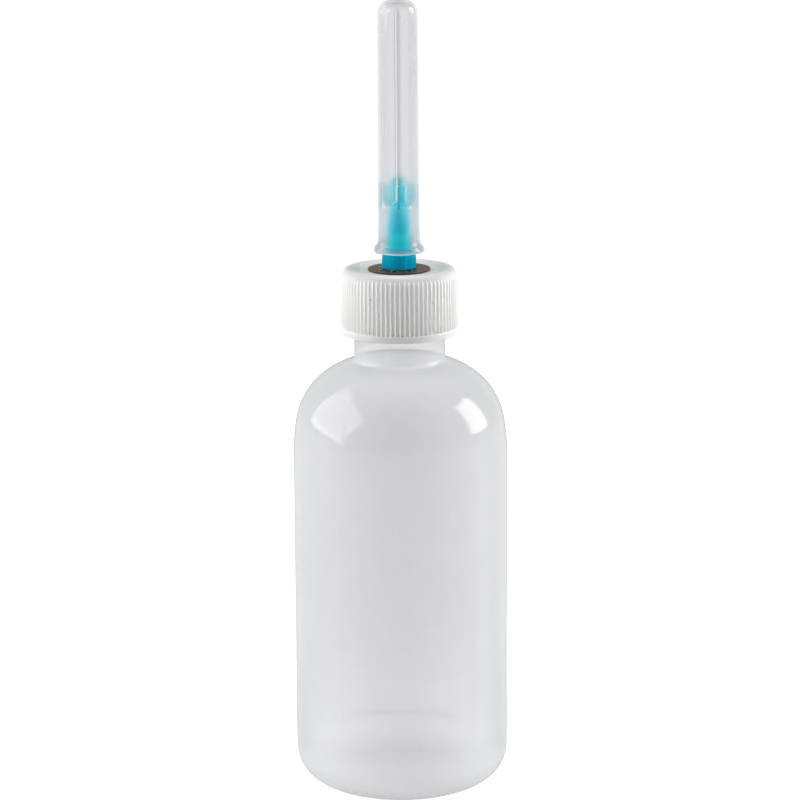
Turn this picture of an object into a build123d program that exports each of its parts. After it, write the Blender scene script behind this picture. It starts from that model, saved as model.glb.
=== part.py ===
from build123d import *
import os
from math import pi, sin, cos, sqrt

# Glue applicator bottle: a soft blow-moulded squeeze bottle with a ribbed screw
# cap, a luer stem held in the cap by a star washer, a push-on dispensing needle
# and the needle's sheath.  Millimetres, +Z up, origin at the middle of the
# plane the bottle stands on.  Turned profiles are drawn as (radius, height).

# ----------------------------------------------------------------- bottle ---
body_r = 19.5            # outside radius of the straight wall
wall = 1.0
corner_r = 5.7           # outside radius of the bottom corner
corner_in_r = corner_r - 0.75
foot_in_r = 12.4         # inner edge of the ring the bottle stands on
foot_fillet = 0.5
pushup_h = 1.7           # height of the hollow in the base
base_t = 1.25            # thickness in the middle of the base
floor_edge_z = 1.15      # floor inside, where the corner starts
shoulder_z0 = 61.03      # top of the straight wall
shoulder_h = 19.65       # superellipse height of the shoulder
shoulder_n = 2.9         # superellipse exponent
shoulder_r0 = -7.0       # superellipse centre
shoulder_a = body_r - shoulder_r0
shoulder_steps = 40      # steps in a quarter of the superellipse
neck_r = 8.25            # plain neck, also the thread root
neck_bore_r = 7.0
neck_root_fillet = 0.8
lip_z = 93.8             # sealing lip
lip_out_r = 0.3          # roundings of the lip
lip_in_r = 0.2

# ---------------------------------------------------------------- threads ---
pitch = 25.4 / 8         # eight threads to the inch
thread_rise = 1.5 * pitch
thread_root_w = 1.5
thread_crest_w = 0.75
thread_sink = 0.2        # how far a thread's root runs into its wall
thread_z0 = 86.9         # centre of the bottle's thread where it starts
neck_thread_h = 0.95
neck_root_extra = 0.16   # the bottle's thread is this much wider at its sunk root
cap_thread_h = 0.85

# -------------------------------------------------------- liner and cap ---
liner_t = 1.0
liner_r = 9.3
liner_fillet = 0.12
panel_t = 1.2            # top panel of the cap
cap_z0 = 84.2
cap_top = lip_z + liner_t + panel_t
cap_bore_r = 9.5
cap_edge = 0.25          # relief of the bottom edge, outside and in the bore
cap_band_r = 10.86       # plain band under the ribs
cap_band_h = 1.3
cap_rib_r0 = 10.80       # rib tips at the bottom
cap_rib_r1 = 10.61       # rib tips at the top, before the edge rounds over
cap_rib_z1 = 93.9        # where the rounding starts
rib_count = 80
rib_groove_r = 0.27      # half-round grooves between the ribs
rib_groove_c = 10.68     # radius of the circle their centres lie on
seat_z = cap_top - 0.35  # flat seat of the washer
dish_r0 = 6.9            # edge of the flat seat; the top slopes down to it
dish_r1 = 9.2
dish_d = 0.41            # slope's depth; leaves a fine groove round the seat
dish_groove_w = 0.12

# -------------------------------------------------------- stem and washer ---
stem_r = 2.5
cap_hole_r = stem_r + 0.1
liner_hole_r = stem_r + 0.06
stem_flange_r = 5.8
stem_flange_z0 = lip_z - 1.0
stem_flange_edge = 0.2   # chamfer of the flange
stem_top = 95.94         # top of the thick shaft, where the luer cone starts
stem_bore_r = 1.05
stem_bore_edge = 0.35    # chamfer at the bottom of the bore
luer_tip_z = 102.0
luer_tip_r = 1.975       # small end of the six per cent taper
luer_slope = 0.03        # radius per millimetre
washer_r = 5.63
washer_t = 0.28
washer_fillet = 0.08
washer_teeth = 8
washer_gap_r = 4.0       # bottom of the gaps between the teeth
washer_tip_r = stem_r - 0.04    # teeth bite into the stem
washer_phase = 31.0      # first gap, degrees from +X
tooth_start_r = 1.6      # the teeth are drawn from here, then cut at their tips
tooth_end_r = washer_gap_r + 0.2
tooth_tip_w = 1.24       # widths at these two radii
tooth_root_w = 2.24

# ------------------------------------------------------ dispensing needle ---
hub_z0 = 95.98
hub_rim_r = 3.09
hub_rim_edge = 0.12      # outside chamfer of the rim
hub_mouth_edge = 0.15    # chamfer of the luer socket's mouth
hub_top = 112.5
luer_clear = 0.015       # radial, hub on stem
socket_over = 1.3        # the socket runs on this far past the stem's tip
well_z0 = 110.6          # bonding well in the hub's top
well_r0 = 0.5
well_r1 = 0.95
fin_r = 2.9
fin_w = 1.6
fin_root_w = 3.7         # width where the fin spreads into the barrel
fin_z0 = 106.8
fin_top = 111.3
fin_edge = 0.25          # chamfer of the fin's top corner
fin_count = 4
fin_phase = 6.9          # degrees from -Y towards +X
cannula_r = 0.32
cannula_bore_r = 0.17
cannula_hole_r = cannula_r + 0.01
cannula_z0 = 104.0
cannula_tip = 142.3
cannula_edge = 0.04      # outside chamfer of the tip
cannula_bore_edge = 0.02

# ----------------------------------------------------------------- sheath ---
sheath_z0 = 98.9
sheath_flare_r = 4.6
sheath_top = 144.2
sheath_in_top = sheath_top - 0.9
crown_r = 1.5            # edge of the shallow dome on the closed end
crown_z = 143.98


# ---------------------------------------------------------------- helpers ---
def luer_r(z):
    """Radius of the stem's luer cone at height z."""
    return luer_tip_r + luer_slope * (luer_tip_z - z)


def circles(edges, radius):
    """The circular edges of one radius."""
    return (edges.filter_by(GeomType.CIRCLE)
            .filter_by(lambda edge: abs(edge.radius - radius) < 0.01))


def turned(outline):
    """A straight-sided (radius, height) outline revolved about Z."""
    with BuildPart() as piece:
        with BuildSketch(Plane.XZ):
            with BuildLine():
                Polyline(*outline, close=True)
            make_face()
        revolve(axis=Axis.Z)
    return piece.part


def thread_outline(root_x, root_w, crest_x):
    """Corners of a thread's section; x is measured outwards from the helix."""
    return [(root_x, -root_w / 2), (crest_x, -thread_crest_w / 2),
            (crest_x, thread_crest_w / 2), (root_x, root_w / 2)]


def shoulder_points(end_r):
    """Points evenly spread by angle along the shoulder, from the wall to end_r."""
    points = []
    for i in range(shoulder_steps + 1):
        angle = pi / 2 * i / shoulder_steps
        r = shoulder_r0 + shoulder_a * cos(angle) ** (2 / shoulder_n)
        # stop short of the end so that the last two points aren't crowded
        if r <= end_r + 0.25:
            break
        points.append((r, shoulder_z0 + shoulder_h * sin(angle) ** (2 / shoulder_n)))
    across = (end_r - shoulder_r0) / shoulder_a
    end_z = shoulder_z0 + shoulder_h * (1 - across ** shoulder_n) ** (1 / shoulder_n)
    return points + [(end_r, end_z)]


def inset(points, distance):
    """The same curve moved inwards along its normals; it starts vertical."""
    moved = []
    for i, (r, z) in enumerate(points):
        r0, z0 = points[max(i - 1, 0)]
        r1, z1 = points[min(i + 1, len(points) - 1)]
        dr, dz = (r1 - r0, z1 - z0) if i else (0.0, 1.0)
        length = sqrt(dr * dr + dz * dz)
        moved.append((r - distance * dz / length, z + distance * dr / length))
    return moved


# ----------------------------------------------------------------- pieces ---
def make_bottle():
    outer = shoulder_points(neck_r)
    # the inner curve is carried past the neck, then kept to outside the bore
    inner = [point for point in inset(shoulder_points(neck_r - 1.5), wall)
             if point[0] > neck_bore_r + 0.15]
    (last_r, last_z), (end_r, root_z) = outer[-2:]
    end_tangent = (end_r - last_r, root_z - last_z)
    bore_z0 = inner[-1][1] + 0.2
    wall_in_r = body_r - wall
    corner_in_z = floor_edge_z + corner_in_r
    # a point part-way up the base hollow, on its underside
    hollow_r, hollow_z = foot_in_r * 0.52, pushup_h * 0.735

    with BuildPart() as bottle:
        with BuildSketch(Plane.XZ):
            with BuildLine():
                # base hollow, standing ring, bottom corner, straight wall
                ThreePointArc((0, pushup_h), (hollow_r, hollow_z), (foot_in_r, 0))
                Line((foot_in_r, 0), (body_r - corner_r, 0))
                JernArc(start=(body_r - corner_r, 0), tangent=(1, 0),
                        radius=corner_r, arc_size=90)
                Line((body_r, corner_r), (body_r, shoulder_z0))
                # shoulder, plain neck and lip
                Spline(*outer, tangents=[(0, 1), end_tangent])
                Line(outer[-1], (neck_r, lip_z - lip_out_r))
                JernArc(start=(neck_r, lip_z - lip_out_r), tangent=(0, 1),
                        radius=lip_out_r, arc_size=90)
                Line((neck_r - lip_out_r, lip_z), (neck_bore_r + lip_in_r, lip_z))
                JernArc(start=(neck_bore_r + lip_in_r, lip_z), tangent=(-1, 0),
                        radius=lip_in_r, arc_size=90)
                # bore, inside of the shoulder, wall and base
                Line((neck_bore_r, lip_z - lip_in_r), (neck_bore_r, bore_z0))
                Line((neck_bore_r, bore_z0), inner[-1])
                Spline(*reversed(inner))
                Line((wall_in_r, shoulder_z0), (wall_in_r, corner_in_z))
                JernArc(start=(wall_in_r, corner_in_z), tangent=(0, -1),
                        radius=corner_in_r, arc_size=-90)
                Spline((wall_in_r - corner_in_r, floor_edge_z), (hollow_r, hollow_z + base_t),
                       (0, pushup_h + base_t), tangents=[(-1, 0.03), (-1, 0)])
                Line((0, pushup_h + base_t), (0, pushup_h))
            make_face()
        revolve(axis=Axis.Z)
        # soft fillets where the shoulder meets the neck and at the standing ring
        fillet(circles(bottle.edges(), neck_r)
               .filter_by_position(Axis.Z, root_z - 0.02, root_z + 0.02), neck_root_fillet)
        fillet(circles(bottle.edges(), foot_in_r)
               .filter_by_position(Axis.Z, -0.01, 0.01), foot_fillet)
        # external right-handed thread
        with BuildLine() as helix:
            Helix(pitch=pitch, height=thread_rise, radius=neck_r, center=(0, 0, thread_z0))
        with BuildSketch(Plane(origin=helix.line @ 0, x_dir=(1, 0, 0), z_dir=helix.line % 0)):
            with BuildLine():
                Polyline(*thread_outline(-thread_sink, thread_root_w + neck_root_extra,
                                         neck_thread_h), close=True)
            make_face()
        sweep(path=helix.line, is_frenet=True)
    return bottle.part


def make_screw_cap():
    band_z = cap_z0 + cap_band_h
    rim_r = cap_rib_r1 - 1.25       # inner end of the rounded top edge
    slope_end = (dish_r0 + dish_groove_w, cap_top - dish_d)

    with BuildPart() as screw_cap:
        with BuildSketch(Plane.XZ):
            with BuildLine():
                # bottom edge, plain band, ribs, rounded top edge
                Line((cap_bore_r + cap_edge, cap_z0), (cap_band_r - cap_edge, cap_z0))
                JernArc(start=(cap_band_r - cap_edge, cap_z0), tangent=(1, 0),
                        radius=cap_edge, arc_size=90)
                Polyline((cap_band_r, cap_z0 + cap_edge), (cap_band_r, band_z),
                         (cap_rib_r0, band_z + 0.1), (cap_rib_r1, cap_rib_z1))
                Spline((cap_rib_r1, cap_rib_z1), (cap_rib_r1 - 0.13, 94.9),
                       (cap_rib_r1 - 0.55, 95.62), (rim_r, cap_top),
                       tangents=[(-0.02, 1), (-1, 0.02)])
                # top: flat edge, gentle slope, fine groove, flat seat, hole; then the bore
                Line((rim_r, cap_top), (dish_r1, cap_top))
                Spline((dish_r1, cap_top), ((dish_r0 + dish_r1) / 2, cap_top - dish_d / 2),
                       slope_end, tangents=[(-1, -0.05), (-1, -0.05)])
                Polyline(slope_end, (dish_r0, seat_z), (cap_hole_r, seat_z),
                         (cap_hole_r, cap_top - panel_t), (cap_bore_r, cap_top - panel_t),
                         (cap_bore_r, cap_z0 + cap_edge), (cap_bore_r + cap_edge, cap_z0))
            make_face()
        revolve(axis=Axis.Z)
        # grip grooves between the ribs; they run out through the rounded top edge
        with BuildSketch(Plane.XY.offset(band_z)):
            with PolarLocations(rib_groove_c, rib_count):
                Circle(rib_groove_r)
        extrude(amount=cap_top - band_z + 0.5, mode=Mode.SUBTRACT)
        # internal thread, half a pitch below the bottle's
        with BuildLine() as helix:
            Helix(pitch=pitch, height=thread_rise, radius=cap_bore_r,
                  center=(0, 0, thread_z0 - pitch / 2))
        with BuildSketch(Plane(origin=helix.line @ 0, x_dir=(1, 0, 0), z_dir=helix.line % 0)):
            with BuildLine():
                Polyline(*thread_outline(thread_sink, thread_root_w, -cap_thread_h), close=True)
            make_face()
        sweep(path=helix.line, is_frenet=True)
    return screw_cap.part


def make_cap_liner():
    with BuildPart() as cap_liner:
        with BuildSketch(Plane.XY.offset(lip_z)):
            Circle(liner_r)
            Circle(liner_hole_r, mode=Mode.SUBTRACT)
        extrude(amount=liner_t)
        fillet(circles(cap_liner.edges(), liner_r), liner_fillet)
    return cap_liner.part


def make_luer_stem():
    return turned([
        # flange under the liner
        (stem_bore_r + stem_bore_edge, stem_flange_z0),
        (stem_flange_r - stem_flange_edge, stem_flange_z0),
        (stem_flange_r, stem_flange_z0 + stem_flange_edge), (stem_flange_r, lip_z),
        # thick shaft and luer cone
        (stem_r, lip_z), (stem_r, stem_top), (luer_r(stem_top), stem_top),
        (luer_r(luer_tip_z - 0.3), luer_tip_z - 0.3), (luer_tip_r - 0.2, luer_tip_z),
        # bore
        (stem_bore_r, luer_tip_z), (stem_bore_r, stem_flange_z0 + stem_bore_edge)])


def make_star_washer():
    with BuildPart() as star_washer:
        with BuildSketch(Plane.XY.offset(seat_z)):
            Circle(washer_r)
            Circle(washer_gap_r, mode=Mode.SUBTRACT)
            with BuildSketch(mode=Mode.PRIVATE) as teeth:
                with PolarLocations(0, washer_teeth,
                                    start_angle=washer_phase + 180 / washer_teeth):
                    with BuildLine():
                        Polyline((tooth_start_r, -tooth_tip_w / 2),
                                 (tooth_end_r, -tooth_root_w / 2),
                                 (tooth_end_r, tooth_root_w / 2),
                                 (tooth_start_r, tooth_tip_w / 2), close=True)
                    make_face()
            add(teeth.sketch)
            Circle(washer_tip_r, mode=Mode.SUBTRACT)
        extrude(amount=washer_t)
        fillet(circles(star_washer.edges(), washer_r), washer_fillet)
    return star_washer.part


def make_hub_fin():
    """One fin of the needle hub, pointing along +X."""
    with BuildPart() as hub_fin:
        # seen from the side: straight outer edge with a sloping lower end
        with BuildSketch(Plane.XZ):
            with BuildLine():
                Polyline((0.6, fin_z0), (1.95, fin_z0), (fin_r, 108.6),
                         (fin_r, fin_top - fin_edge), (fin_r - fin_edge, fin_top),
                         (0.6, fin_top), close=True)
            make_face()
        extrude(amount=2.0, both=True)
        # seen end-on: narrow blade that spreads into the barrel below
        blade, spread = fin_w / 2, fin_root_w / 2
        with BuildSketch(Plane.YZ):
            with BuildLine():
                Polyline((-blade, fin_top + 0.1), (blade, fin_top + 0.1), (blade, 108.5),
                         (spread, 107.1), (spread, fin_z0 - 0.1), (-spread, fin_z0 - 0.1),
                         (-spread, 107.1), (-blade, 108.5), close=True)
            make_face()
        extrude(amount=5.0, mode=Mode.INTERSECT)
        # seen from above: outer edge rounded to the fin circle
        with BuildSketch(Plane.XY.offset(105.0)):
            Circle(fin_r)
        extrude(amount=7.0, mode=Mode.INTERSECT)
    return hub_fin.part


def make_needle_hub():
    fin = make_hub_fin()
    mouth_r = luer_r(hub_z0) + luer_clear
    socket_top = luer_tip_z + socket_over
    # (radius, height) of the joints up the outside
    rim_top = (hub_rim_r - 0.02, 97.9)
    barrel_bottom = (2.6, 99.4)
    barrel_top = (2.08, 106.6)
    nose_bottom = (1.72, 108.6)
    nose_top = (1.5, hub_top - 0.25)
    nose_end = (1.3, hub_top)

    with BuildPart() as needle_hub:
        with BuildSketch(Plane.XZ):
            with BuildLine():
                Polyline((mouth_r + hub_mouth_edge, hub_z0), (hub_rim_r - hub_rim_edge, hub_z0),
                         (hub_rim_r, hub_z0 + hub_rim_edge), rim_top)
                Spline(rim_top, (2.97, 98.45), (2.72, 98.85), barrel_bottom,
                       tangents=[(-0.02, 1), (-0.07, 1)])
                Line(barrel_bottom, barrel_top)
                Spline(barrel_top, (1.84, 107.5), nose_bottom,
                       tangents=[(-0.07, 1), (-0.08, 1)])
                Polyline(nose_bottom, nose_top, nose_end)
                # bonding well, needle hole, luer socket
                Polyline(nose_end, (well_r1, hub_top), (well_r0, well_z0),
                         (cannula_hole_r, well_z0), (cannula_hole_r, 104.6), (0.9, 104.2),
                         (luer_r(socket_top) + luer_clear, socket_top),
                         (mouth_r, hub_z0 + hub_mouth_edge), (mouth_r + hub_mouth_edge, hub_z0))
            make_face()
        revolve(axis=Axis.Z)
        with PolarLocations(0, fin_count, start_angle=-90 + fin_phase):
            add(fin)
    return needle_hub.part


def make_needle_cannula():
    return turned([
        (cannula_bore_r, cannula_z0), (cannula_r, cannula_z0),
        (cannula_r, cannula_tip - cannula_edge), (cannula_r - cannula_edge, cannula_tip),
        (cannula_bore_r + cannula_bore_edge, cannula_tip),
        (cannula_bore_r, cannula_tip - cannula_bore_edge)])


def make_needle_bond():
    """The bond fills the well and climbs a little way up the cannula."""
    bottom = (cannula_hole_r, well_z0 + 0.02)
    well_edge = (well_r1 - 0.015, hub_top - 0.02)
    peak = (cannula_hole_r, hub_top + 0.55)

    with BuildPart() as needle_bond:
        with BuildSketch(Plane.XZ):
            with BuildLine():
                Polyline(bottom, (well_r0 - 0.01, well_z0 + 0.02), well_edge)
                Spline(well_edge, (0.55, hub_top + 0.16), peak,
                       tangents=[(-1, 0.1), (-0.15, 1)])
                Line(peak, bottom)
            make_face()
        revolve(axis=Axis.Z)
    return needle_bond.part


def make_needle_sheath():
    crown_h = sheath_top - crown_z
    dome_r = (crown_r ** 2 + crown_h ** 2) / (2 * crown_h)
    dome_mid_z = sheath_top - dome_r + sqrt(dome_r ** 2 - (crown_r / 2) ** 2)
    # (radius, height) of the joints: up the outside, then down the inside
    rim_inner = (3.62, sheath_z0)
    rim_outer = (4.26, sheath_z0)
    flare_top = (4.36, 100.0)
    barrel_bottom = (3.79, 100.95)
    barrel_top = (3.605, 141.6)
    crown_edge = (crown_r, crown_z)
    roof_edge = (1.3, sheath_in_top)
    bore_top = (2.85, 141.7)
    bore_bottom = (3.12, 101.0)

    with BuildPart() as needle_sheath:
        with BuildSketch(Plane.XZ):
            with BuildLine():
                # rolled rim and flare
                Line(rim_inner, rim_outer)
                ThreePointArc(rim_outer, (sheath_flare_r, 99.46), flare_top)
                ThreePointArc(flare_top, (3.97, 100.34), barrel_bottom)
                # long slightly tapered barrel, rounded closed end
                Polyline(barrel_bottom, (3.68, 122.0), barrel_top)
                ThreePointArc(barrel_top, (3.02, 143.2), crown_edge)
                ThreePointArc(crown_edge, (crown_r / 2, dome_mid_z), (0, sheath_top))
                Line((0, sheath_top), (0, sheath_in_top))
                # inside
                Line((0, sheath_in_top), roof_edge)
                ThreePointArc(roof_edge, (2.42, 142.8), bore_top)
                Polyline(bore_top, (2.98, 106.4), bore_bottom)
                ThreePointArc(bore_bottom, (3.26, 99.85), rim_inner)
            make_face()
        revolve(axis=Axis.Z)
    return needle_sheath.part


# ----------------------------------------------------------------- export ---
pieces = {
    "bottle": make_bottle,
    "screw_cap": make_screw_cap,
    "cap_liner": make_cap_liner,
    "luer_stem": make_luer_stem,
    "star_washer": make_star_washer,
    "needle_hub": make_needle_hub,
    "needle_cannula": make_needle_cannula,
    "needle_bond": make_needle_bond,
    "needle_sheath": make_needle_sheath,
}

os.makedirs("parts", exist_ok=True)
for name, make in pieces.items():
    part = make()
    part.label = name
    export_step(part, f"parts/{name}.step")
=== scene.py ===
"""A squeeze bottle with a ribbed screw cap, a toothed washer, a plated stem, and a dispensing
needle under a clear sheath.

It stands upright on the z axis with its foot at z = 0, and its front faces -Y, to the camera.
The shapes are worked out in millimetres; lights, camera and bump depths are in metres.
"""
import math

import bmesh
import bpy
import numpy as np
from mathutils import Matrix, Vector


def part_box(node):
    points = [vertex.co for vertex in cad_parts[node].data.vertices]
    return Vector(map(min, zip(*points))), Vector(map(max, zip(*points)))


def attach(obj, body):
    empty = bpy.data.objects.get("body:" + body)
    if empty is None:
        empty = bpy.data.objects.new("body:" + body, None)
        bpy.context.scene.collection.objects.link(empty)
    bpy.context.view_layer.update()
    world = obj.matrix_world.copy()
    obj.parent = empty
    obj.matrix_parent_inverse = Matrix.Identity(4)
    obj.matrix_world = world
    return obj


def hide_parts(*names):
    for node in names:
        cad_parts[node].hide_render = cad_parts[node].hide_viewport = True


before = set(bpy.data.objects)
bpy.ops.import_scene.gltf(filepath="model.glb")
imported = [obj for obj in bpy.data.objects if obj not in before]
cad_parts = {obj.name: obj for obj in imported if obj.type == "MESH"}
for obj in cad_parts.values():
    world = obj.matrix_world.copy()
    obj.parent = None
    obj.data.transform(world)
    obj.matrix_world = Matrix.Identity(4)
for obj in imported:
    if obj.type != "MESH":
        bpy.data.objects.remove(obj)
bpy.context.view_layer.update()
MM = 0.001
TAU = 2 * math.pi
FRONT = -90                             # degrees round the axis, anticlockwise from above


def extent(node):
    """Bottom, top and outer radius of a frame piece, in millimetres."""
    low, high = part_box(node)
    return low[2] * 1000, high[2] * 1000, high[0] * 1000


# =====================================================================
# Sizes shared between pieces, in millimetres and radians
# =====================================================================
_, LIP_Z, BODY_R = extent("bottle")
SEAT_Z = extent("star_washer")[0]       # the cap's flat seat, under the washer

WALL = 1.0
CORNER = 5.7                            # radius of the turn from foot to wall
FOOT_R = 12.4
HOLLOW = 1.7                            # height of the hollow under the base
BASE_THICK = 1.25
NECK_R, BORE_R = 8.25, 7.0
SEAM = math.radians(FRONT - 33)         # azimuth of the mould's parting line

# the shoulder is a quarter of a superellipse
SHOULDER_Z = 61.03
SHOULDER_RISE = 19.65
SHOULDER_POWER = 2.9
SHOULDER_CENTRE_R = -7.0
SHOULDER_SPAN = BODY_R - SHOULDER_CENTRE_R

PITCH, TURNS, THREAD_Z = 3.175, 1.5, 86.9

RIBS, RIB_PHASE = 80, math.radians(FRONT + 0.63)
TEETH, GAP_PHASE = 8, math.radians(31.0)

LUER_TIP_Z = 102.0
FIN_PHASE = math.radians(FRONT + 6.9)
FIN_TAPER_Z = (107.1, 108.5)            # the hub's fins narrow between these heights
FIN_HALF_WIDTHS = (1.85, 0.80)          # and have these half widths there
KEY_ANGLE = math.radians(FRONT - 5.6)   # raised line down the front of the sheath


def luer_radius(below_tip):
    """Radius of the stem's taper at a depth below its tip."""
    return 1.975 + 0.03 * below_tip


def socket_radius(z):
    """Radius of the hub's socket: the stem's taper and a little clearance."""
    return luer_radius(LUER_TIP_Z - z) + 0.015


# =====================================================================
# Profile helpers: a profile is a list of (radius, z)
# =====================================================================
def arc(centre_r, centre_z, radius, start, end, count):
    """Points on an arc between two angles in degrees."""
    return [(centre_r + radius * math.cos(a), centre_z + radius * math.sin(a))
            for a in np.radians(np.linspace(start, end, count))]


def column(radius, heights):
    return [(radius, z) for z in heights]


def bezier(start, corner, end, count):
    return [(1 - s) ** 2 * start + 2 * s * (1 - s) * corner + s ** 2 * end
            for s in np.linspace(0, 1, count)]


def rounded_path(points, step, rounding):
    """A polyline with rounded corners, cut into pieces no longer than step."""
    points = [np.array(p, float) for p in points]
    soft = [points[0]]
    for before, corner, after in zip(points, points[1:], points[2:]):
        back, ahead = before - corner, after - corner
        back_length, ahead_length = np.linalg.norm(back), np.linalg.norm(ahead)
        if float(np.dot(back, ahead) / (back_length * ahead_length)) < -0.985:
            soft.append(corner)         # almost straight, nothing to round
            continue
        cut = min(rounding, 0.45 * back_length, 0.45 * ahead_length)
        soft += bezier(corner + back / back_length * cut, corner,
                       corner + ahead / ahead_length * cut, 5)
    soft.append(points[-1])
    path = [soft[0]]
    for start, end in zip(soft, soft[1:]):
        pieces = max(1, int(math.ceil(np.linalg.norm(end - start) / step)))
        path += [start + (end - start) * k / pieces for k in range(1, pieces + 1)]
    return [tuple(p) for p in path]


def normals(profile):
    """Unit normals of a profile, to the right of its direction of travel."""
    tangent = np.gradient(profile, axis=0)
    tangent /= np.linalg.norm(tangent, axis=1)[:, None]
    return np.stack([tangent[:, 1], -tangent[:, 0]], 1)


def smoothstep(x, start, end):
    s = np.clip((x - start) / (end - start), 0, 1)
    return s * s * (3 - 2 * s)


def bell(x, width):
    return np.exp(-(x / width) ** 2)


def wrap(angle):
    return (angle + math.pi) % TAU - math.pi


def even_angles(count):
    return np.linspace(0, TAU, count, endpoint=False)


def waves(table, angles, z):
    """Sum of soft waves round a wall. Rows: amplitude, lobes, phase, twist per mm of height."""
    return sum(amplitude * np.sin(lobes * angles + phase + twist * z)
               for amplitude, lobes, phase, twist in table)


def thread_ridge(z, angles, start_z, half_root, half_crest, height):
    """Height of a helical ridge with tapered ends, over a grid of heights and angles."""
    length, taper = PITCH * TURNS, 0.35
    ridge = np.zeros((len(z), len(angles)))
    for k in range(3):
        along = (np.mod(angles, TAU)[None, :] + TAU * k) / TAU * PITCH
        fade = smoothstep(along, 0, taper) * (1 - smoothstep(along, length - taper, length))
        section = 1 - smoothstep(np.abs(z - start_z - along), half_crest, half_root)
        ridge = np.maximum(ridge, height * section * fade)
    return ridge


# =====================================================================
# Mesh helpers: every turned or moulded piece is a stack of rings
# =====================================================================
def add_object(name, data):
    thing = bpy.data.objects.new(name, data)
    bpy.context.scene.collection.objects.link(thing)
    return thing


def rings_at(radius, z, angles):
    """Points (rows, angles, 3) from radii and heights given per row or per point."""
    shape = (len(radius), len(angles))
    radius, z = np.broadcast_to(radius, shape), np.broadcast_to(z, shape)
    return np.stack([radius * np.cos(angles), radius * np.sin(angles), z], 2)


def turn(profile, angles):
    profile = np.asarray(profile, float)
    return rings_at(profile[:, :1], profile[:, 1:], angles)


def rings_to_mesh(name, rings, sharp, closed=False, start_pole=None, end_pole=None,
                  materials=None):
    """Skin a stack of rings in millimetres.

    closed joins the last ring to the first; a pole is the height at which an end closes on the
    axis; materials has an index for the faces between each row and the next; edges that turn
    by more than sharp degrees stay hard.
    """
    rows, count, _ = rings.shape
    if materials is None:
        materials = [0] * rows
    verts = (rings.reshape(-1, 3) * MM).tolist()
    here = np.arange(count)
    after = (here + 1) % count
    faces, slots = [], []

    def add_faces(corners, slot):
        faces.extend(np.stack(corners, 1).tolist())
        slots.extend([slot] * count)

    for i in range(rows if closed else rows - 1):
        low, high = i * count, (i + 1) % rows * count
        add_faces([low + here, low + after, high + after, high + here], materials[i])
    last = (rows - 1) * count
    for pole, first, second, slot in ((start_pole, after, here, materials[0]),
                                      (end_pole, last + here, last + after, materials[-1])):
        if pole is not None:
            add_faces([first, second, np.full(count, len(verts))], slot)
            verts.append((0, 0, pole * MM))
    mesh = bpy.data.meshes.new(name)
    mesh.from_pydata(verts, [], faces)
    mesh.polygons.foreach_set("material_index", np.array(slots, np.int32))
    smooth_with_creases(mesh, math.radians(sharp))
    return add_object(name, mesh)


def smooth_with_creases(mesh, limit):
    """Outward normals, smooth faces, and hard edges only where the surface really turns."""
    work = bmesh.new()
    work.from_mesh(mesh)
    bmesh.ops.recalc_face_normals(work, faces=work.faces)
    for face in work.faces:
        face.smooth = True
    for edge in work.edges:
        if len(edge.link_faces) == 2:
            edge.smooth = edge.calc_face_angle(0.0) < limit
    work.to_mesh(mesh)
    work.free()


# =====================================================================
# Bottle
# =====================================================================
# amplitude, lobes, phase, twist
BOTTLE_WAVES = [(0.034, 2, 0.6, 0.035), (0.020, 3, -1.1, -0.06), (0.012, 5, 2.3, 0.11),
                (0.008, 8, 0.0, 0.19), (0.010, 2, 0.0, 0.33)]
HOLLOW_RADII = (0.6, 1.5, 2.6, 3.8, 5.0, 6.2, 7.4, 8.6, 9.6, 10.5, 11.2, 11.7)


def bottle_angles():
    """Angles round the bottle, finer at the two parting lines."""
    angles = np.linspace(-math.pi, math.pi, 180, endpoint=False)
    half = [0.004, 0.008, 0.014, 0.022, 0.034]
    fine = np.array([-a for a in half[::-1]] + [0.0] + half)
    for centre in (SEAM, SEAM + math.pi):
        far = np.abs(wrap(angles - centre)) > 0.038
        angles = np.sort(np.concatenate([angles[far], wrap(centre + fine)]))
    return angles


def shoulder_z(r):
    u = (r - SHOULDER_CENTRE_R) / SHOULDER_SPAN
    return SHOULDER_Z + SHOULDER_RISE * (1 - u ** SHOULDER_POWER) ** (1 / SHOULDER_POWER)


def shoulder_points(count):
    power = 2 / SHOULDER_POWER
    return [(SHOULDER_CENTRE_R + SHOULDER_SPAN * math.cos(a) ** power,
             SHOULDER_Z + SHOULDER_RISE * math.sin(a) ** power)
            for a in np.linspace(0, math.pi / 2, count)]


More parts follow.
